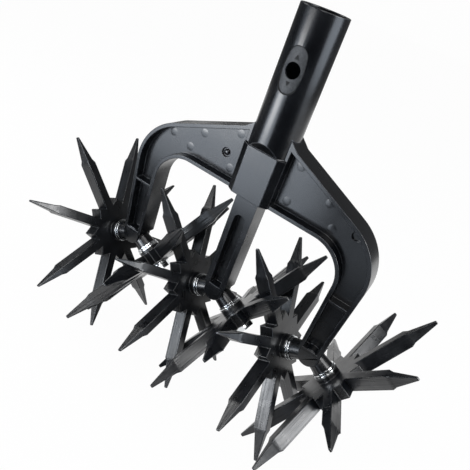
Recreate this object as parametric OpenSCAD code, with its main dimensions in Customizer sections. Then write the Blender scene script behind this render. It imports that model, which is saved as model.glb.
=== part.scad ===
// Rotary hand cultivator head.
// A moulded three-legged fork with a pole socket carries six star wheels on drooping stub axles.
// Origin at the centre of the socket mouth, +Z up out of the mouth, +X along the row of wheels,
// -Y towards the front, where the button hole is.

/* [Pole socket] */

// Outside diameter of the socket tube at the mouth
tube_d = 30; // [27:0.5:40]
// Growth of the tube's radius from the mouth to the block
tube_draft = 0.8; // [0:0.1:2]
// Diameter of the bore that takes the pole
bore_d = 25; // [20:0.5:34]
// Depth of the bore below the mouth
bore_depth = 76; // [50:1:90]
// Length of the front of the tube from the mouth to the bevel under it
tube_len = 80; // [78:0.5:90]
// Height of the bevel between the front of the tube and the block
taper_h = 5.7; // [2:0.1:8]
// Distance ahead of the tube axis where the bevel ends on the block
taper_front = 11.9; // [9:0.1:12.4]
// Drop of the button hole below the mouth
hole_drop = 33.9; // [20:0.1:50]
// Diameter of the button hole
hole_d = 9.6; // [6:0.1:12]
// Length of the sunken thumb pad around the hole
pad_len = 26.8; // [20:0.1:40]
// Width of the sunken thumb pad
pad_w = 13; // [12:0.5:18]
// Radius of the arcs along the sides of the thumb pad
pad_side_r = 35; // [25:0.5:60]
// Radius of the round ends of the thumb pad
pad_end_r = 5.7; // [4:0.1:6.4]
// Depth of the thumb pad
pad_depth = 0.6; // [0.3:0.1:1.2]
// Length of the triangle marks on the pad
mark_len = 2.4; // [1.5:0.1:4]
// Distance of the triangle marks from the hole
mark_gap = 1.6; // [0.8:0.1:3]

/* [Fork] */

// Distance between neighbouring legs
leg_pitch = 84.4; // [76:0.1:95]
// Distance from the middle of an outer leg to its inner side
leg_in = 9; // [7.5:0.1:12]
// Distance from the middle of an outer leg to its outer side at the leg end
leg_out = 7.4; // [7:0.1:12]
// Slope of the outer side of a leg in degrees
leg_taper = 3.5; // [0:0.1:6]
// Width of the centre leg
centre_leg_w = 17.4; // [14:0.1:22]
// Front edge of the fork ahead of the tube axis
front_y = 8; // [6:0.5:11]
// Back face of the fork behind the tube axis
back_y = 9.5; // [9:0.5:14]
// Drop of the leg ends below the mouth
leg_end = 199; // [185:0.5:210]
// Drop of the lower edge of the arms
arm_low = 120.2; // [110:0.1:125]
// Drop of the upper edge of the arms at the tube
arm_top = 75.5; // [70:0.1:82]
// Slope of the upper edge of the arms in degrees
arm_slope = 23.6; // [18:0.1:28]
// Height of the gusset where an arm leaves the tube
gusset_h = 4.5; // [2:0.1:8]
// Length of the gusset along the arm
gusset_len = 4; // [2:0.1:10]
// Radius of the outer corner of an arm
outer_r = 40; // [30:0.5:48]
// Radius of the inner corner of an arm
inner_r = 24; // [15:0.5:30]
// Thickness of the rim around the arms and legs
rim_t = 2.8; // [2:0.1:4]
// Front face of the web ahead of the tube axis
web_front = 1; // [-2:0.1:4]
// Thickness of the web
web_t = 3; // [2:0.1:5]
// Drop of the rib across an outer leg
rib_drop = 153.5; // [145:0.5:165]
// Thickness of the ribs
rib_t = 2; // [1.5:0.1:4]
// Width of the slot in the centre leg
slot_w = 8.8; // [6:0.1:11]
// Drop of the round top of the centre slot
slot_top = 135; // [128:0.5:150]
// Distance from the middle to the dimple in the left web
dimple_in = 29.6; // [22:0.1:40]
// Drop of the dimple in the left web
dimple_in_drop = 102.6; // [92:0.1:110]
// Distance from the middle to the dimple in the right web
dimple_out = 73.8; // [40:0.1:78]
// Drop of the dimple in the right web
dimple_out_drop = 108.1; // [104:0.1:112]
// Diameter of the dimples in the webs
dimple_d = 6.4; // [4:0.1:8]
// Depth of the dimples in the webs
dimple_depth = 1.5; // [0.5:0.1:2]

/* [Block] */

// Width of the flat front of the block
block_w = 22.2; // [16:0.1:26]
// Full width of the block behind its bevels
block_full_w = 32; // [30:0.5:36]
// Front of the block ahead of the tube axis
block_front = 12.5; // [10:0.1:14.5]
// Distance ahead of the tube axis where the bevels end
block_side = 9; // [6:0.1:11]

/* [Axles] */

// Drop of the point where the two axles of a leg meet
axle_drop = 203.4; // [195:0.1:215]
// Droop of the axles below level in degrees
droop = 28; // [15:0.1:35]
// Sweep of the axles towards the back in degrees
sweep = 3.5; // [0:0.1:8]
// Radius of the knuckle under a leg
knuckle_r = 7.5; // [6:0.1:9]
// Length of a boss from the meeting point
boss_len = 14; // [11:0.1:18]
// Radius of a boss at the knuckle
boss_r_in = 6.2; // [5.5:0.1:8]
// Radius of a boss at its end
boss_r_out = 7.8; // [6:0.1:9]
// Diameter of the bolt shank
shank_d = 8; // [6:0.1:9]
// Start of the shank inside the boss
shank_start = 5; // [4:0.1:8]
// Distance across the flats of the bolt head
head_af = 13; // [10:0.5:17]
// Height of the bolt head
head_h = 4.5; // [3:0.1:7]
// Outside diameter of the washers
washer_d = 17.4; // [14:0.1:20]
// Thickness of the washers
washer_t = 1.5; // [1:0.1:3]
// Radial clearance of fixed parts on the shank
fixed_gap = 0.05; // [0.02:0.01:0.2]

/* [Wheels] */

// Distance from the meeting point to the middle of a wheel
wheel_mid = 26.2; // [24:0.1:32]
// Radius to the tips of the tines
tip_r = 82.5; // [60:0.1:95]
// Number of tines
tine_n = 8; // [5:1:10]
// Width of a tine at the hub
tine_root_w = 7.4; // [5:0.1:9]
// Width of a tine at its shoulder
tine_end_w = 6.6; // [4:0.1:8]
// Thickness of the wheel along its axle
wheel_t = 10.4; // [8:0.1:12]
// Radius where a tine steps in to its point
shoulder_r = 60.5; // [45:0.1:70]
// Length of the step at the shoulder
shoulder_len = 3; // [1:0.1:6]
// Width of the point at the step
point_w = 5; // [3:0.1:6]
// Thickness of the point at the step
point_t = 8; // [4:0.1:10]
// Width of the blunt tip
tip_w = 1.4; // [0.6:0.1:2]
// Thickness of the blunt tip
tip_t = 2.4; // [0.6:0.1:3]
// Radius of the hub disc
hub_r = 22; // [18:0.1:26]
// Radius to the hub teeth
tooth_r = 27; // [22:0.1:29]
// Number of hub teeth between two tines
tooth_n = 1; // [1:1:4]
// Radius of the collar on the leg side of the hub
collar_r = 8.8; // [8:0.1:12]
// Lean of the uppermost tine ahead of upright on left-hand wheels
lean_ahead = 13.8; // [0:0.1:22]
// Lean of the uppermost tine behind upright on right-hand wheels
lean_behind = 17; // [0:0.1:22]
// Lean of the uppermost tine ahead of upright on the outermost left wheel
end_lean_ahead = 15.8; // [0:0.1:22]
// Lean of the uppermost tine behind upright on the outermost right wheel
end_lean_behind = 19.4; // [0:0.1:22]
// Outside diameter of the bush in the hub
bush_d = 10; // [9:0.1:13]
// Diameter of the bush flange
flange_d = 18.2; // [12:0.1:20]
// Thickness of the bush flange
flange_t = 1.6; // [1:0.1:3]
// Radial running clearance of the bush on the shank
run_gap = 0.04; // [0.02:0.01:0.1]
// End clearance on each side of a wheel
end_gap = 0.35; // [0.2:0.05:1]

/* [Hidden] */

$fn = 72;
over = 1;
blend = 0.02;
places = ["left_outer", "left_inner", "centre_left", "centre_right", "right_inner", "right_outer"];
kinds = ["tine_wheel", "hub_bush", "thrust_washer", "end_washer", "axle_bolt"];
leans = [end_lean_ahead, lean_behind, lean_ahead, lean_behind, lean_ahead, end_lean_behind];
moulding = "#1d2025";
wheel_black = "#24272c";
zinc = "#b9bcc2";

tube_base_d = tube_d + 2 * tube_draft;
block_top = tube_len + taper_h;
pad_r = tube_d / 2 + tube_draft * hole_drop / block_top;
pad_end = pad_len / 2 - pad_end_r;
outer_x = leg_pitch + leg_out;
inner_x = leg_pitch - leg_in;
leg_full_w = outer_x + leg_end * tan(leg_taper) - inner_x;
web_y = -web_front;
web_back = web_y + web_t;
side_reach = outer_x * cos(leg_taper) + leg_end * sin(leg_taper) - outer_r;
top_reach = top_edge(0) * cos(arm_slope) - outer_r;
corner_x = (side_reach * cos(arm_slope) + top_reach * sin(leg_taper)) / cos(arm_slope - leg_taper);
corner_z = (top_reach * cos(leg_taper) - side_reach * sin(arm_slope)) / cos(arm_slope - leg_taper);
fillet_x = inner_x - inner_r;
fillet_z = -arm_low - inner_r;
wheel_out = wheel_mid + wheel_t / 2;
flange_in = boss_len + washer_t + end_gap;
collar_in = flange_in + flange_t;
end_washer_in = wheel_out + end_gap;
head_in = end_washer_in + washer_t;
step_r = shoulder_r + shoulder_len;
root_half = asin(tine_root_w / 2 / hub_r);
tooth_pitch = (360 / tine_n - 2 * root_half) / tooth_n;
tine_edge = [
    [hub_r * cos(root_half), tine_root_w / 2],
    [shoulder_r, tine_end_w / 2],
    [step_r, point_w / 2],
    [tip_r, tip_w / 2]
];

// Height of the upper edge line of an arm at a distance x from the middle
function top_edge(x) = -arm_top - (x - tube_base_d / 2) * tan(arm_slope);

// Extrudes an outline drawn in x and z from one depth to another
module through_y(y0, y1) {
    translate([0, y1, 0])
        rotate([90, 0, 0])
            linear_extrude(height = y1 - y0)
                children();
}

// Places a shape drawn along +Z on one of the six axles
module on_axle(i) {
    leg = floor(i / 2) - 1;
    turn = i % 2 == 0 ? 180 - sweep : sweep;
    translate([leg * leg_pitch, 0, -axle_drop])
        rotate([0, 0, turn])
            rotate([0, 90 + droop, 0])
                children();
}

module both_sides() {
    children();
    mirror([1, 0, 0])
        children();
}

// One arm and its leg as a solid, with all its edges drawn in by inset.
// The outer side of the leg sinks into the round corner by blend.
module arm_solid(inset, y0, y1) {
    corner = outer_r - inset;
    drop = inset / cos(arm_slope);
    through_y(y0, y1)
        polygon([
            [0, top_edge(0) - drop],
            [corner_x + corner * sin(arm_slope), corner_z + corner * cos(arm_slope)],
            [corner_x, corner_z],
            [corner_x + (corner - blend) * cos(leg_taper), corner_z - (corner - blend) * sin(leg_taper)],
            [outer_x - (inset + blend) / cos(leg_taper), -leg_end],
            [0, -leg_end]
        ]);
    through_y(y0, y1)
        translate([corner_x, corner_z])
            circle(r = corner);
}

// Fills the corner between the tube and the upper edge of an arm
module gusset() {
    side = tube_base_d / 2;
    through_y(-front_y, back_y)
        polygon([
            [0, -arm_top - over],
            [side + gusset_len, top_edge(side + gusset_len)],
            [bore_d / 2, -arm_top + gusset_h],
            [0, -arm_top + gusset_h]
        ]);
}

// The open bay between the centre leg and an outer leg, grown by the given amount
module bay(grow, x0, y0, y1) {
    low = leg_end + over;
    wide = inner_x + grow - x0;
    through_y(y0, y1)
        translate([x0, -low])
            square([fillet_x - x0, low - arm_low + grow]);
    through_y(y0, y1)
        translate([x0, -low])
            square([wide, low + fillet_z]);
    through_y(y0, y1)
        translate([fillet_x, fillet_z])
            circle(r = inner_r + grow);
}

// A tray that leaves a rim around the arm and ribs across its leg
module arm_tray(y0, y1) {
    low = y0 - over;
    deep = y1 - y0 + 2 * over;
    difference() {
        arm_solid(rim_t, y0, y1);
        bay(rim_t, -over, low, low + deep);
        translate([-over, low, -leg_end])
            cube([block_full_w / 2 + over, deep, leg_end]);
        translate([inner_x, low, -rib_drop - rib_t])
            cube([leg_full_w, deep, rib_t]);
        translate([inner_x, low, -leg_end - over])
            cube([leg_full_w, deep, rib_t + over]);
    }
}

module centre_slot(y0, y1) {
    low = leg_end - rib_t;
    through_y(y0, y1)
        translate([-slot_w / 2, -low])
            square([slot_w, low - slot_top - slot_w / 2]);
    through_y(y0, y1)
        translate([0, -slot_top - slot_w / 2])
            circle(d = slot_w);
}

// The block under the tube, a bevelled bar that the centre leg runs out of
module block() {
    translate([0, 0, -arm_low])
        linear_extrude(height = arm_low - block_top)
            polygon([
                [-block_w / 2, -block_front],
                [block_w / 2, -block_front],
                [block_full_w / 2, -block_side],
                [block_full_w / 2, back_y],
                [-block_full_w / 2, back_y],
                [-block_full_w / 2, -block_side]
            ]);
}

// A wedge that cuts the flat bevel under the front of the tube
module bevel_cut() {
    run = tube_base_d / 2 - taper_front;
    far = tube_base_d / 2 + over;
    low = block_top + 2 * over;
    rotate([90, 0, 90])
        translate([0, 0, -far])
            linear_extrude(height = 2 * far)
                polygon([
                    [-far, -tube_len + taper_h * over / run],
                    [-far, -low],
                    [-taper_front + 2 * over * run / taper_h, -low]
                ]);
}

module tube() {
    difference() {
        translate([0, 0, -block_top - over])
            cylinder(h = block_top + over, d1 = tube_base_d, d2 = tube_d);
        bevel_cut();
        mirror([0, 1, 0])
            bevel_cut();
    }
}

// A long oval: two flat arcs along its sides and a round at each end
module pad_outline() {
    side = pad_side_r - pad_w / 2;
    intersection() {
        translate([side, 0])
            circle(r = pad_side_r);
        translate([-side, 0])
            circle(r = pad_side_r);
        translate([-pad_w / 2, -pad_end])
            square([pad_w, 2 * pad_end]);
    }
    for (way = [-1, 1])
        translate([0, way * pad_end])
            circle(r = pad_end_r);
}

module pad_cut() {
    intersection() {
        translate([0, 0, -hole_drop])
            through_y(-tube_base_d, 0)
                pad_outline();
        translate([0, 0, -block_top - over])
            difference() {
                cylinder(h = block_top + over, d = tube_base_d + 2 * over);
                cylinder(h = block_top + over, d1 = tube_base_d - 2 * pad_depth, d2 = tube_d - 2 * pad_depth);
            }
    }
}

// Raised triangles above and below the hole that point away from it
module pad_marks() {
    base = hole_d / 2 + mark_gap;
    for (way = [-1, 1])
        through_y(-pad_r, -bore_d / 2)
            translate([0, -hole_drop])
                polygon([
                    [-mark_len / 2, way * base],
                    [mark_len / 2, way * base],
                    [0, way * (base + mark_len)]
                ]);
}

module legs() {
    through_y(-front_y, back_y)
        translate([-centre_leg_w / 2, -leg_end])
            square([centre_leg_w, leg_end - arm_low + over]);
    for (leg = [-1, 0, 1])
        translate([leg * leg_pitch, 0, 0]) {
            through_y(-knuckle_r, knuckle_r)
                translate([0, -axle_drop])
                    circle(r = knuckle_r);
            through_y(-knuckle_r, knuckle_r)
                translate([-knuckle_r, -axle_drop])
                    square([2 * knuckle_r, axle_drop - leg_end + over]);
        }
}

module bosses() {
    for (i = [0 : 5])
        on_axle(i)
            cylinder(h = boss_len, r1 = boss_r_in, r2 = boss_r_out);
}

module bolt_holes() {
    for (i = [0 : 5])
        on_axle(i)
            translate([0, 0, shank_start - fixed_gap])
                cylinder(h = boss_len, d = shank_d + 2 * fixed_gap);
}

module dimple(x, z) {
    through_y(web_y - over, web_y + dimple_depth)
        translate([x, z])
            circle(d = dimple_d);
}

module fork_frame() {
    color(moulding)
        difference() {
            union() {
                both_sides()
                    difference() {
                        arm_solid(0, -front_y, back_y);
                        bay(0, -over, -front_y - over, back_y + over);
                        arm_tray(-front_y - over, web_y);
                        arm_tray(web_back, back_y + over);
                    }
                difference() {
                    tube();
                    pad_cut();
                }
                pad_marks();
                both_sides()
                    gusset();
                block();
                legs();
                bosses();
            }
            translate([0, 0, -bore_depth])
                cylinder(h = bore_depth + over, d = bore_d);
            translate([0, 0, -hole_drop])
                rotate([90, 0, 0])
                    cylinder(h = tube_base_d, d = hole_d);
            centre_slot(-front_y - over, web_y);
            centre_slot(web_back, back_y + over);
            bolt_holes();
            dimple(-dimple_in, -dimple_in_drop);
            dimple(dimple_out, -dimple_out_drop);
        }
}

// Points of one tine, drawn along the given angle, and of the hub teeth that follow it
function sector(angle) = concat(
    [for (side = [-1, 1]) for (p = side < 0 ? tine_edge : reverse(tine_edge)) turned(p.x, side * p.y, angle)],
    [for (k = [0 : tooth_n - 1]) each [
        turned(tooth_r, 0, angle + root_half + (k + 0.5) * tooth_pitch),
        if (k < tooth_n - 1) turned(hub_r, 0, angle + root_half + (k + 1) * tooth_pitch)
    ]]
);

function reverse(list) = [for (k = [len(list) - 1 : -1 : 0]) list[k]];

function turned(x, y, angle) = [x * cos(angle) - y * sin(angle), x * sin(angle) + y * cos(angle)];

// The star outline cut by a turned profile that thins the points
module wheel_star() {
    thinning = (point_t - tip_t) / (tip_r - step_r);
    past_tip = tip_t / 2 - thinning * over / 2;
    intersection() {
        translate([0, 0, -wheel_t])
            linear_extrude(height = 2 * wheel_t)
                polygon([for (k = [0 : tine_n - 1]) each sector(k * 360 / tine_n)]);
        rotate_extrude()
            polygon([
                [0, -wheel_t / 2],
                [shoulder_r, -wheel_t / 2],
                [step_r, -point_t / 2],
                [tip_r + over, -past_tip],
                [tip_r + over, past_tip],
                [step_r, point_t / 2],
                [shoulder_r, wheel_t / 2],
                [0, wheel_t / 2]
            ]);
    }
}

module tine_wheel(i) {
    color(wheel_black)
        on_axle(i)
            difference() {
                union() {
                    translate([0, 0, wheel_mid])
                        rotate([0, 0, -leans[i]])
                            wheel_star();
                    translate([0, 0, collar_in])
                        cylinder(h = wheel_mid - collar_in, r = collar_r);
                }
                translate([0, 0, collar_in - over])
                    cylinder(h = wheel_out - collar_in + 2 * over, d = bush_d + 2 * fixed_gap);
            }
}

module hub_bush(i) {
    color(zinc)
        on_axle(i)
            difference() {
                union() {
                    translate([0, 0, flange_in])
                        cylinder(h = flange_t, d = flange_d);
                    translate([0, 0, flange_in])
                        cylinder(h = wheel_out - flange_in, d = bush_d);
                }
                translate([0, 0, flange_in - over])
                    cylinder(h = wheel_out - flange_in + 2 * over, d = shank_d + 2 * run_gap);
            }
}

module washer(i, start) {
    color(zinc)
        on_axle(i)
            translate([0, 0, start])
                difference() {
                    cylinder(h = washer_t, d = washer_d);
                    translate([0, 0, -over])
                        cylinder(h = washer_t + 2 * over, d = shank_d + 2 * fixed_gap);
                }
}

module thrust_washer(i) {
    washer(i, boss_len);
}

module end_washer(i) {
    washer(i, end_washer_in);
}

module axle_bolt(i) {
    color(zinc)
        on_axle(i) {
            translate([0, 0, shank_start])
                cylinder(h = head_in + over - shank_start, d = shank_d);
            translate([0, 0, head_in])
                linear_extrude(height = head_h)
                    circle(d = head_af / cos(30), $fn = 6);
        }
}

fork_frame();
for (i = [0 : 5]) {
    tine_wheel(i);
    hub_bush(i);
    thrust_washer(i);
    end_washer(i);
    axle_bolt(i);
}
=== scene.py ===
import math

import bmesh
import bpy
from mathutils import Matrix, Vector


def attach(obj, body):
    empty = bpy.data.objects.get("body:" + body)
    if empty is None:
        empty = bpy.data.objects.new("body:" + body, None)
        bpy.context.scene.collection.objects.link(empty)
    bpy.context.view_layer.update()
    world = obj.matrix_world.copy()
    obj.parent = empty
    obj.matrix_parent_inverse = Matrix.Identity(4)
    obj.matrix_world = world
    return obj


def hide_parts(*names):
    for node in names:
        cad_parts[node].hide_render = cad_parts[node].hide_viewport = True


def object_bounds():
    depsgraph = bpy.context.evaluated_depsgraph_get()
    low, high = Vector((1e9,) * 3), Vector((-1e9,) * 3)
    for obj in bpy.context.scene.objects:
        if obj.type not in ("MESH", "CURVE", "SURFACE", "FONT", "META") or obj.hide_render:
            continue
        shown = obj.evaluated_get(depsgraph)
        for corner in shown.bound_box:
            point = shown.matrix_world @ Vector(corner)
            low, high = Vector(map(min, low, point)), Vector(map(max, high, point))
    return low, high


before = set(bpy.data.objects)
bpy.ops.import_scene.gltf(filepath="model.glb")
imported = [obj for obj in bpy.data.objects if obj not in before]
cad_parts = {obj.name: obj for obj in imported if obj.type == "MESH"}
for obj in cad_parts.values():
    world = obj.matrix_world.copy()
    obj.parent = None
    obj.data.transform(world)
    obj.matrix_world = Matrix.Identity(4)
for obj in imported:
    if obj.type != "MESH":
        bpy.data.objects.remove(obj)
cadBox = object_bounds()
mm = 0.001
places = ["left_outer", "left_inner", "centre_left", "centre_right", "right_inner", "right_outer"]


def hexToLinear(text):
    # sRGB hex to the linear colour that shaders take
    parts = [int(text[k:k + 2], 16) / 255 for k in (1, 3, 5)]
    return [c / 12.92 if c <= 0.04045 else ((c + 0.055) / 1.055) ** 2.4 for c in parts] + [1.0]


def addNode(tree, kind, settings=None, inputs=None, links=None):
    # one node with its settings, its socket values and the sockets that feed it
    node = tree.nodes.new(kind)
    for key, value in (settings or {}).items():
        setattr(node, key, value)
    for key, value in (inputs or {}).items():
        node.inputs[key].default_value = value
    for key, socket in (links or {}).items():
        tree.links.new(socket, node.inputs[key])
    return node


def newMaterial(name):
    material = bpy.data.materials.new(name)
    material.use_nodes = True
    material.node_tree.nodes.clear()
    return material, material.node_tree


# how fine each noise is, and the span that most of a noise's values lie in
noiseDetail = {"cloud": 3.0, "grain": 2.0, "sink": 1.0, "marks": 2.0, "lines": 1.0}
noiseSpan = {"From Min": 0.3, "From Max": 0.7}

# injection-moulded ABS: near black, satin, with a fine moulded grain and slow sink marks
absLook = {
    "dark": "#07090d",
    "light": "#0d1015",
    "cloud": 22 * mm,
    "grain": 0.8 * mm,  # real grain is about 0.1 mm, drawn coarser so that it shows
    "grainDepth": 0.008 * mm,
    "sink": 16 * mm,
    "sinkDepth": 0.05 * mm,
    "roughFrom": 0.2,
    "roughTo": 0.29,
    "ior": 1.54,
}

# glass-filled nylon: harder wearing, a little greyer and duller than the fork
nylonLook = {
    "dark": "#080a0e",
    "light": "#101318",
    "cloud": 9 * mm,
    "grain": 0.6 * mm,  # drawn coarser than the real grain so that it shows
    "grainDepth": 0.012 * mm,
    "sink": 8 * mm,
    "sinkDepth": 0.04 * mm,
    "roughFrom": 0.25,
    "roughTo": 0.36,
    "ior": 1.54,
    "lines": 1.1 * mm,  # flow lines are finer, drawn coarser so that they show
    "lineDepth": 0.16 * mm,
    "droop": 28,  # how far the axles slope down and sweep back, in degrees
    "sweep": 3.5,
}


def axleWay(look, side):
    # direction in which an axle runs, -1 for the left-hand wheels and 1 for the right-hand ones
    droop, sweep = math.radians(look["droop"]), math.radians(look["sweep"])
    return side * math.cos(droop) * math.cos(sweep), math.cos(droop) * math.sin(sweep), -math.sin(droop)


def mouldedPlastic(name, look, side=0):
    material, tree = newMaterial(name)
    place = addNode(tree, "ShaderNodeTexCoord").outputs["Object"]
    noise = {}
    for kind in ("cloud", "grain", "sink"):
        noise[kind] = addNode(
            tree, "ShaderNodeTexNoise", None,
            {"Scale": 1 / look[kind], "Detail": noiseDetail[kind]}, {"Vector": place},
        ).outputs["Fac"]
    tint = addNode(tree, "ShaderNodeValToRGB", None, None, {"Fac": noise["cloud"]})
    tint.color_ramp.elements[0].position = noiseSpan["From Min"]
    tint.color_ramp.elements[0].color = hexToLinear(look["dark"])
    tint.color_ramp.elements[1].position = noiseSpan["From Max"]
    tint.color_ramp.elements[1].color = hexToLinear(look["light"])
    rough = addNode(
        tree, "ShaderNodeMapRange", None,
        {**noiseSpan, "To Min": look["roughFrom"], "To Max": look["roughTo"]}, {"Value": noise["cloud"]},
    )
    waves = addNode(
        tree, "ShaderNodeBump", None,
        {"Strength": 1.0, "Distance": look["sinkDepth"]}, {"Height": noise["sink"]},
    )
    relief = addNode(
        tree, "ShaderNodeBump", None,
        {"Strength": 1.0, "Distance": look["grainDepth"]},
        {"Height": noise["grain"], "Normal": waves.outputs["Normal"]},
    )
    if side:
        # flow lines run along the tines, so they change only along the axle
        along = addNode(
            tree, "ShaderNodeVectorMath", {"operation": "DOT_PRODUCT"},
            {1: axleWay(look, side)}, {0: place},
        )
        lines = addNode(
            tree, "ShaderNodeTexNoise", {"noise_dimensions": "1D"},
            {"Scale": 1 / look["lines"], "Detail": noiseDetail["lines"]}, {"W": along.outputs["Value"]},
        )
        relief = addNode(
            tree, "ShaderNodeBump", None,
            {"Strength": 1.0, "Distance": look["lineDepth"]},
            {"Height": lines.outputs["Fac"], "Normal": relief.outputs["Normal"]},
        )
    shader = addNode(
        tree, "ShaderNodeBsdfPrincipled", None, {"IOR": look["ior"]},
        {
            "Base Color": tint.outputs["Color"],
            "Roughness": rough.outputs["Result"],
            "Normal": relief.outputs["Normal"],
        },
    )
    addNode(tree, "ShaderNodeOutputMaterial", None, None, {"Surface": shader.outputs["BSDF"]})
    return material


# bright zinc on turned steel: pale, a little cloudy, with fine tool marks
zincLook = {
    "dark": "#cfd2d5",
    "light": "#eef0f1",
    "cloud": 3 * mm,
    "marks": 0.5 * mm,  # drawn coarser than the real tool marks so that they show
    "markDepth": 0.002 * mm,
    "roughFrom": 0.08,
    "roughTo": 0.16,
}


def zincPlatedSteel(name, look):
    material, tree = newMaterial(name)
    place = addNode(tree, "ShaderNodeTexCoord").outputs["Object"]
    noise = {}
    for kind in ("cloud", "marks"):
        noise[kind] = addNode(
            tree, "ShaderNodeTexNoise", None,
            {"Scale": 1 / look[kind], "Detail": noiseDetail[kind]}, {"Vector": place},
        ).outputs["Fac"]
    tint = addNode(tree, "ShaderNodeValToRGB", None, None, {"Fac": noise["cloud"]})
    tint.color_ramp.elements[0].color = hexToLinear(look["dark"])
    tint.color_ramp.elements[1].color = hexToLinear(look["light"])
    rough = addNode(
        tree, "ShaderNodeMapRange", None,
        {**noiseSpan, "To Min": look["roughFrom"], "To Max": look["roughTo"]}, {"Value": noise["cloud"]},
    )
    scratch = addNode(
        tree, "ShaderNodeBump", None,
        {"Strength": 1.0, "Distance": look["markDepth"]}, {"Height": noise["marks"]},
    )
    shader = addNode(
        tree, "ShaderNodeBsdfPrincipled", None, {"Metallic": 1.0},
        {
            "Base Color": tint.outputs["Color"],
            "Roughness": rough.outputs["Result"],
            "Normal": scratch.outputs["Normal"],
        },
    )
    addNode(tree, "ShaderNodeOutputMaterial", None, None, {"Surface": shader.outputs["BSDF"]})
    return material


# spark-eroded mould faces come out matt with an even pebbled grain; their paler colour is painted sheen
sparkedSheenLook = {
    **absLook,
    "dark": "#1c1f23",
    "light": "#3c3f43",
    "cloud": 1.2 * mm,
    "grain": 0.5 * mm,
    "grainDepth": 0.05 * mm,
    "roughFrom": 0.5,
    "roughTo": 0.62,
}

# the fine groove and the raised arrow marks are near black and matt; in the groove this is painted shade
grooveShadeAndArrowLook = {**absLook, "dark": "#040506", "light": "#07080a", "roughFrom": 0.75, "roughTo": 0.85}

# the rounded edges are painted paler so that they read as thin bright lines: a painted highlight
edgeHighlightLook = {"cloud": 11 * mm, "roughFrom": 0.2, "roughTo": 0.3}
paintedEdgeHighlightAbs = {**absLook, **edgeHighlightLook, "dark": "#0b0d11", "light": "#303338"}
paintedEdgeHighlightNylon = {**nylonLook, **edgeHighlightLook, "dark": "#0a0c0f", "light": "#25282c"}

forkAbs = mouldedPlastic("mouldedAbs", absLook)
leftNylon = mouldedPlastic("glassFilledNylonLeft", nylonLook, -1)
rightNylon = mouldedPlastic("glassFilledNylonRight", nylonLook, 1)
padSheenAbs = mouldedPlastic("sparkErodedSheenAbs", sparkedSheenLook)
grooveShadeAndArrowAbs = mouldedPlastic("mattAbsShadeAndArrows", grooveShadeAndArrowLook)
# the two paler edge materials paint a highlight on the rounded edges
forkEdgeHighlight = mouldedPlastic("paintedEdgeHighlightAbs", paintedEdgeHighlightAbs)
wheelEdgeHighlight = mouldedPlastic("paintedEdgeHighlightNylon", paintedEdgeHighlightNylon)
zincSteel = zincPlatedSteel("zincPlatedSteel", zincLook)
print("materials: ABS, nylon, zinc-plated steel")


def pickOnly(piece):
    bpy.ops.object.select_all(action="DESELECT")
    bpy.context.view_layer.objects.active = piece
    piece.select_set(True)


# edge rounding that each kind of part leaves the mould or the lathe with, angles in degrees
forkEdges = {"width": 0.45 * mm, "segments": 2, "sharp": 25, "flat": 0.6, "groove": True}
wheelEdges = {"width": 0.5 * mm, "segments": 2, "sharp": 25, "flat": 0.4}
steelEdges = {"width": 0.3 * mm, "segments": 2, "sharp": 40, "flat": 0.4}
weldGap = 0.002 * mm  # corners of the loose triangles that are nearer than this become one

# the sunken thumb pad round the button hole, with the fine groove that outlines it
thumbPad = {
    "middle": -33.9 * mm,
    "half": 7.6 * mm,
    "reach": 14.6 * mm,
    "front": -12.6 * mm,
    "sideRound": 35 * mm,
    "width": 13 * mm,
    "endRound": 5.7 * mm,
    "length": 26.8 * mm,
    "tube": 15.32 * mm,
    "sunk": 0.3 * mm,
    "markWidth": 1.5 * mm,
    "markReach": 10 * mm,
    "groove": 0.6 * mm,
    "grooveRound": 2,
    "points": 96,
    "halvings": 40,
    "floorSlot": 1,
    "grooveSlot": 2,
}


def onPad(spot):
    inside = abs(spot.x) < thumbPad["half"] and spot.y < thumbPad["front"]
    return inside and abs(spot.z - thumbPad["middle"]) < thumbPad["reach"]


def padEdge(turn):
    # point of the pad's outline on the tube, a turn from 0 to 1 round it
    way = (math.sin(2 * math.pi * turn), math.cos(2 * math.pi * turn))
    end = thumbPad["length"] / 2 - thumbPad["endRound"]
    side = thumbPad["sideRound"] - thumbPad["width"] / 2
    low, high = 0.0, thumbPad["length"]
    for k in range(thumbPad["halvings"]):
        reach = (low + high) / 2
        x, z = abs(way[0] * reach), abs(way[1] * reach)
        if z < end:
            inside = math.hypot(x + side, z) < thumbPad["sideRound"]
        else:
            inside = math.hypot(x, z - end) < thumbPad["endRound"]
        low, high = (reach, high) if inside else (low, reach)
    x, z = way[0] * low, way[1] * low
    return x, -math.sqrt(thumbPad["tube"] ** 2 - x * x), thumbPad["middle"] + z, 1.0


def grooveCutter():
    line = bpy.data.curves.new("padGroove", "CURVE")
    line.dimensions = "3D"
    line.bevel_depth = thumbPad["groove"]
    line.bevel_resolution = thumbPad["grooveRound"]
    path = line.splines.new("POLY")
    path.points.add(thumbPad["points"] - 1)
    for k, point in enumerate(path.points):
        point.co = padEdge(k / thumbPad["points"])
    path.use_cyclic_u = True
    cutter = bpy.data.objects.new("padGroove", line)
    bpy.context.scene.collection.objects.link(cutter)
    pickOnly(cutter)
    bpy.ops.object.convert(target="MESH")
    cutter = bpy.context.object
    # the groove's faces take the dark matt colour, painted shade in the recess
    for face in cutter.data.polygons:
        face.material_index = thumbPad["grooveSlot"]
    return cutter


def markPad(piece):
    # pebbled floor in its paler colour, which is painted sheen, and the two raised arrow marks in matt black
    for face in piece.data.polygons:
        spot = face.center
        if not onPad(spot):
            continue
        offMiddle = abs(spot.z - thumbPad["middle"])
        if math.hypot(spot.x, spot.y) < thumbPad["tube"] - thumbPad["sunk"]:
            face.material_index = thumbPad["floorSlot"]
        elif abs(spot.x) < thumbPad["markWidth"] and offMiddle < thumbPad["markReach"]:
            face.material_index = thumbPad["grooveSlot"]


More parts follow.
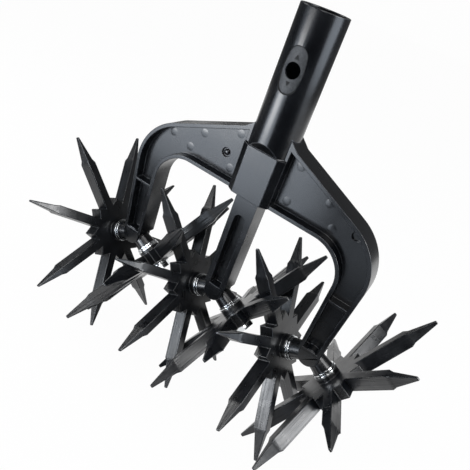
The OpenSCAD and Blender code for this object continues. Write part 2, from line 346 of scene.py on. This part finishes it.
def cutGroove(piece):
    cutter = grooveCutter()
    groove = piece.modifiers.new("groove", "BOOLEAN")
    groove.operation = "DIFFERENCE"
    groove.object = cutter
    pickOnly(piece)
    bpy.ops.object.modifier_apply(modifier=groove.name)
    bpy.data.objects.remove(cutter)


def weighEdges(piece, edges):
    # rounding on every sharp edge but the small ones of the thumb pad
    shape = bmesh.new()
    shape.from_mesh(piece.data)
    weight = shape.edges.layers.float.new("bevel_weight_edge")
    for edge in shape.edges:
        if edge.is_manifold and edge.calc_face_angle() > math.radians(edges["sharp"]):
            spot = (edge.verts[0].co + edge.verts[1].co) / 2
            edge[weight] = 0.0 if onPad(spot) else 1.0
    shape.to_mesh(piece.data)
    shape.free()


def roundedCopy(nodeName, pieceName, edges, materials):
    piece = bpy.data.objects.new(pieceName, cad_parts[nodeName].data.copy())
    bpy.context.scene.collection.objects.link(piece)
    pickOnly(piece)
    piece.data.materials.clear()
    for material in materials:
        piece.data.materials.append(material)
    bpy.ops.object.mode_set(mode="EDIT")
    bpy.ops.mesh.select_all(action="SELECT")
    bpy.ops.mesh.customdata_custom_splitnormals_clear()
    bpy.ops.mesh.remove_doubles(threshold=weldGap)
    bpy.ops.mesh.select_all(action="DESELECT")
    bpy.ops.object.mode_set(mode="OBJECT")
    for face in piece.data.polygons:
        face.select = not onPad(face.center)
    bpy.ops.object.mode_set(mode="EDIT")
    bpy.ops.mesh.dissolve_limited(angle_limit=math.radians(edges["flat"]))
    bpy.ops.object.mode_set(mode="OBJECT")
    if "groove" in edges:
        markPad(piece)
        cutGroove(piece)
    bpy.ops.object.shade_smooth_by_angle(angle=math.radians(edges["sharp"]))
    weighEdges(piece, edges)
    rounding = piece.modifiers.new("edgeRounding", "BEVEL")
    rounding.width = edges["width"]
    rounding.segments = edges["segments"]
    rounding.limit_method = "WEIGHT"
    rounding.use_clamp_overlap = False
    rounding.harden_normals = True
    rounding.material = len(materials) - 1  # the last material is the paler edge colour, a painted highlight
    bpy.ops.object.modifier_apply(modifier=rounding.name)
    return piece


def dressNode(nodeName, pieceName, edges, materials, body):
    piece = roundedCopy(nodeName, pieceName, edges, materials)
    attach(piece, body)
    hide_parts(nodeName)
    return piece


forkSkin = [forkAbs, padSheenAbs, grooveShadeAndArrowAbs, forkEdgeHighlight]
fork = dressNode("fork_frame", "forkMoulding", forkEdges, forkSkin, "frame")
print("fork:", len(fork.data.polygons), "faces")
for turn, place in enumerate(places):
    wheelBody = "wheel_" + place
    wheelSkin = [rightNylon if turn % 2 else leftNylon, wheelEdgeHighlight]
    dressNode("tine_wheel_" + place, "tineWheel_" + place, wheelEdges, wheelSkin, wheelBody)
    dressNode("hub_bush_" + place, "hubBush_" + place, steelEdges, [zincSteel], wheelBody)
    for kind in ("thrust_washer", "end_washer", "axle_bolt"):
        nodeName = kind + "_" + place
        dressNode(nodeName, nodeName + "_steel", steelEdges, [zincSteel], "frame")
print("wheels, bushes, washers and bolts dressed")

# round marks that the ejector pins left on the front of the webs, spots in mm
ejectorMarks = {
    "radius": 3 * mm,
    "sides": 48,
    "web": -1 * mm,
    "proud": 0.01 * mm,
    "depth": 0.5 * mm,
    "rim": 0.4 * mm,
    "rise": 0.07 * mm,
    "smooth": 25,
    "spots": [
        (-23.4, -85.9), (-23.4, -111.4), (-49.9, -98), (-57.9, -112.3), (-74.2, -108.5),
        (23.4, -85.9), (23.4, -111.4), (49.9, -98), (57.9, -112.3),
    ],
}


def ejectorMark(look):
    bpy.ops.object.select_all(action="DESELECT")
    bpy.ops.mesh.primitive_cylinder_add(
        vertices=look["sides"], radius=look["radius"], depth=look["depth"],
        rotation=(math.radians(90), 0, 0),
        location=(0, look["web"] - look["proud"] + look["depth"] / 2, 0),
    )
    mark = bpy.context.object
    bpy.ops.object.transform_apply(location=True, rotation=True, scale=True)
    bpy.ops.object.mode_set(mode="EDIT")
    bpy.ops.mesh.select_all(action="DESELECT")
    bpy.ops.object.mode_set(mode="OBJECT")
    for face in mark.data.polygons:
        face.select = face.normal.y < -0.9  # the front face alone
    bpy.ops.object.mode_set(mode="EDIT")
    bpy.ops.mesh.inset(thickness=look["rim"], depth=0)
    bpy.ops.transform.translate(value=(0, -look["rise"], 0))
    bpy.ops.object.mode_set(mode="OBJECT")
    bpy.ops.object.shade_smooth_by_angle(angle=math.radians(look["smooth"]))
    return mark


firstMark = ejectorMark(ejectorMarks)
markCopies = []
for x, z in ejectorMarks["spots"]:
    markCopy = bpy.data.objects.new("ejectorMark", firstMark.data.copy())
    bpy.context.scene.collection.objects.link(markCopy)
    pickOnly(markCopy)
    bpy.ops.object.mode_set(mode="EDIT")
    bpy.ops.mesh.select_all(action="SELECT")
    bpy.ops.transform.translate(value=(x * mm, 0, z * mm))
    bpy.ops.object.mode_set(mode="OBJECT")
    markCopies.append(markCopy)
bpy.data.objects.remove(firstMark)
for markCopy in markCopies:
    markCopy.select_set(True)
bpy.ops.object.join()
marks = bpy.context.object
marks.name = "ejectorMarks"
marks.data.materials.clear()
marks.data.materials.append(forkAbs)
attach(marks, "frame")

# domed pin stub in the left web's dimple
pinStub = {
    "at": (-29.6 * mm, 0.5 * mm, -102.6 * mm),
    "radius": 2.3 * mm,
    "rise": 0.6,
    "segments": 40,
    "rings": 20,
    "smooth": 40,
}
bpy.ops.object.select_all(action="DESELECT")
bpy.ops.mesh.primitive_uv_sphere_add(
    segments=pinStub["segments"], ring_count=pinStub["rings"], radius=pinStub["radius"], location=(0, 0, 0)
)
stub = bpy.context.object
stub.name = "pinStub"
bpy.ops.object.mode_set(mode="EDIT")
bpy.ops.mesh.select_all(action="SELECT")
bpy.ops.transform.resize(value=(1, pinStub["rise"], 1))
bpy.ops.mesh.bisect(plane_co=(0, 0, 0), plane_no=(0, 1, 0), clear_outer=True, use_fill=True)
bpy.ops.mesh.select_all(action="SELECT")
bpy.ops.transform.translate(value=pinStub["at"])
bpy.ops.object.mode_set(mode="OBJECT")
bpy.ops.object.shade_smooth_by_angle(angle=math.radians(pinStub["smooth"]))
stub.data.materials.append(forkAbs)
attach(stub, "frame")
print("ejector marks and pin stub made")

# floor that looks white and still takes a little of the lamps' light and shade
stageLook = {"floor": "#f7f7f6", "size": 12.0, "shade": 0.03, "white": 1.0}


def seenAsBackground(tree):
    # 1 for rays that look at the background: from the camera, in gloss and through glass
    rays = addNode(tree, "ShaderNodeLightPath").outputs
    seen = addNode(
        tree, "ShaderNodeMath", {"operation": "MAXIMUM"}, None,
        {0: rays["Is Camera Ray"], 1: rays["Is Glossy Ray"]},
    )
    return addNode(
        tree, "ShaderNodeMath", {"operation": "MAXIMUM"}, None,
        {0: seen.outputs["Value"], 1: rays["Is Transmission Ray"]},
    ).outputs["Value"]


def paleFloor(look):
    material, tree = newMaterial("paleFloor")
    share = addNode(
        tree, "ShaderNodeMath", {"operation": "MULTIPLY"},
        {1: 1 - look["shade"]}, {0: seenAsBackground(tree)},
    )
    matt = addNode(tree, "ShaderNodeBsdfDiffuse", None, {"Color": hexToLinear(look["floor"])})
    white = addNode(tree, "ShaderNodeEmission", None, {"Strength": look["white"]})
    mix = addNode(
        tree, "ShaderNodeMixShader", None, None,
        {"Fac": share.outputs["Value"], 1: matt.outputs["BSDF"], 2: white.outputs["Emission"]},
    )
    addNode(tree, "ShaderNodeOutputMaterial", None, None, {"Surface": mix.outputs["Shader"]})
    return material


bpy.ops.object.select_all(action="DESELECT")
bpy.ops.mesh.primitive_plane_add(size=stageLook["size"], location=(0, 0, cadBox[0][2]))
floor = bpy.context.object
floor.name = "floor"
floor.data.materials.append(paleFloor(stageLook))

# a dim fill for matt surfaces, and the white that shows behind the tool
worldLook = {"fill": 0.35, "seen": 0.985, "white": (1, 1, 1, 1)}
world = bpy.data.worlds.new("studio")
bpy.context.scene.world = world
world.use_nodes = True
worldTree = world.node_tree
worldTree.nodes.clear()
seenRays = seenAsBackground(worldTree)
glows = {}
for use in ("fill", "seen"):
    glows[use] = addNode(
        worldTree, "ShaderNodeBackground", None,
        {"Color": worldLook["white"], "Strength": worldLook[use]},
    ).outputs["Background"]
chosen = addNode(
    worldTree, "ShaderNodeMixShader", None, None, {"Fac": seenRays, 1: glows["fill"], 2: glows["seen"]}
)
addNode(worldTree, "ShaderNodeOutputWorld", None, None, {"Surface": chosen.outputs["Shader"]})

# dark cloth round the tool and on parts of the floor, seen only in its gloss, as in a product studio; the
# cloth glows faintly though it is no lamp, so what it shows in gloss is painted reflection, and the patch
# under the tool is painted shadow
tentLook = {
    "radius": 1.1,
    "segments": 48,
    "rings": 24,
    "front": 0.03,  # glow of the cloth in front of the tool, and behind it
    "back": 0.14,
    "frontEdge": -0.3,  # where along y the glow starts to rise, and where it stops
    "backEdge": 0.8,
    "lift": 1 * mm,
}
floorCloths = [
    {"name": "frontCloth", "middle": (0, -0.585), "size": (1.9, 0.95)},
    {"name": "leftCloth", "middle": (-0.7, 0.145), "size": (0.5, 0.51)},
    # the patch under the tool is painted shadow: it darkens the floor seen in gloss where the tool's own
    # shadow lies
    {"name": "paintedShadowCloth", "middle": (-0.036, -0.055), "size": (0.098, 0.11)},
]


def paintedReflectionCloth(look):
    material, tree = newMaterial("paintedReflectionCloth")
    coords = addNode(tree, "ShaderNodeTexCoord").outputs["Object"]
    place = addNode(tree, "ShaderNodeSeparateXYZ", None, None, {"Vector": coords})
    glow = addNode(
        tree, "ShaderNodeMapRange", None,
        {
            "From Min": look["frontEdge"], "From Max": look["backEdge"],
            "To Min": look["front"], "To Max": look["back"],
        },
        {"Value": place.outputs["Y"]},
    )
    sheen = addNode(tree, "ShaderNodeEmission", None, None, {"Strength": glow.outputs["Result"]})
    addNode(tree, "ShaderNodeOutputMaterial", None, None, {"Surface": sheen.outputs["Emission"]})
    return material


bpy.ops.object.select_all(action="DESELECT")
bpy.ops.mesh.primitive_uv_sphere_add(
    segments=tentLook["segments"], ring_count=tentLook["rings"], radius=tentLook["radius"], location=(0, 0, 0)
)
flags = [bpy.context.object]
flags[0].name = "studioTent"
for look in floorCloths:
    bpy.ops.object.select_all(action="DESELECT")
    bpy.ops.mesh.primitive_plane_add(size=1.0, location=(0, 0, 0))
    flags.append(bpy.context.object)
    flags[-1].name = look["name"]
    bpy.ops.object.mode_set(mode="EDIT")
    bpy.ops.transform.resize(value=(*look["size"], 1))
    bpy.ops.transform.translate(value=(*look["middle"], cadBox[0][2] + tentLook["lift"]))
    bpy.ops.object.mode_set(mode="OBJECT")
darkCloth = paintedReflectionCloth(tentLook)
for flag in flags:
    flag.data.materials.append(darkCloth)
    flag.visible_camera = False
    flag.visible_diffuse = False
    flag.visible_transmission = False
    flag.visible_shadow = False

# softboxes: where each stands, what it faces, its size in metres and how bright its face is;
# a glint box shows only in gloss, so that matt surfaces keep a plain light
coolWhite = (0.79, 0.88, 1.0)
plainWhite = (1.0, 1.0, 1.0)
softboxes = [
    {
        "name": "lowFrontBox", "at": (-0.167, -0.27, -0.16), "aim": (-0.137, 0, -0.14),
        "size": (0.3, 0.22), "glow": 4.0, "tint": coolWhite, "glint": True,
    },
    {
        "name": "lowRightBox", "at": (0.085, -0.27, -0.25), "aim": (0.085, 0, -0.15),
        "size": (0.15, 0.07), "glow": 1.0, "tint": coolWhite, "glint": True,
    },
    {
        "name": "frontLeftBox", "at": (-0.38, -0.66, -0.2), "aim": (0.05, 0, -0.2),
        "size": (0.34, 0.24), "glow": 10.5, "tint": plainWhite, "glint": False,
    },
    {
        "name": "leftBox", "at": (-0.75, -0.62, 0.1), "aim": (0, 0, -0.1),
        "size": (0.5, 0.9), "glow": 0.8, "tint": coolWhite, "glint": False,
    },
    {
        "name": "rightBox", "at": (0.95, 0.03, 0.05), "aim": (0, 0, -0.1),
        "size": (0.7, 0.5), "glow": 4.2, "tint": coolWhite, "glint": False,
    },
    {
        "name": "highRightBox", "at": (0.76, -0.07, 0.36), "aim": (0.1, 0, -0.25),
        "size": (0.46, 0.46), "glow": 13.0, "tint": plainWhite, "glint": True,
    },
    {
        "name": "highFrontBox", "at": (0.15, -0.71, 0.41), "aim": (0, 0, -0.12),
        "size": (0.3, 0.3), "glow": 6.0, "tint": plainWhite, "glint": True,
    },
    {
        "name": "highLeftBox", "at": (-0.77, -0.09, 0.35), "aim": (0, 0, -0.12),
        "size": (0.4, 0.4), "glow": 5.0, "tint": plainWhite, "glint": False,
    },
    {
        "name": "topBox", "at": (0.22, -0.33, 0.88), "aim": (0, 0, -0.14),
        "size": (0.6, 0.6), "glow": 3.0, "tint": plainWhite, "glint": False,
    },
]
for box in softboxes:
    lamp = bpy.data.lights.new(box["name"], "AREA")
    lamp.shape = "RECTANGLE"
    lamp.size = box["size"][0]
    lamp.size_y = box["size"][1]
    lamp.color = box["tint"]
    lamp.energy = box["glow"] * math.pi * box["size"][0] * box["size"][1]
    holder = bpy.data.objects.new(box["name"], lamp)
    bpy.context.scene.collection.objects.link(holder)
    holder.location = box["at"]
    holder.rotation_euler = (Vector(box["aim"]) - Vector(box["at"])).to_track_quat("-Z", "Y").to_euler()
    holder.visible_camera = False
    holder.visible_diffuse = not box["glint"]

# the photograph's viewpoint, found from the tine tips, leg ends and socket; lens and sensor in mm
viewpoint = {
    "at": (107.33 * mm, -273.85 * mm, 15.22 * mm),
    "turn": (58.222, -18.238, 32.772),
    "lens": 36.432,
    "sensor": 36,
    "near": 10 * mm,
}
camera = bpy.data.cameras.new("photoCamera")
camera.lens = viewpoint["lens"]
camera.sensor_width = viewpoint["sensor"]
camera.clip_start = viewpoint["near"]
cameraHolder = bpy.data.objects.new("photoCamera", camera)
bpy.context.scene.collection.objects.link(cameraHolder)
cameraHolder.location = viewpoint["at"]
cameraHolder.rotation_euler = [math.radians(a) for a in viewpoint["turn"]]
bpy.context.scene.camera = cameraHolder
bpy.context.scene.view_settings.view_transform = "Standard"
print("stage: floor, dark cloth, softboxes, camera")
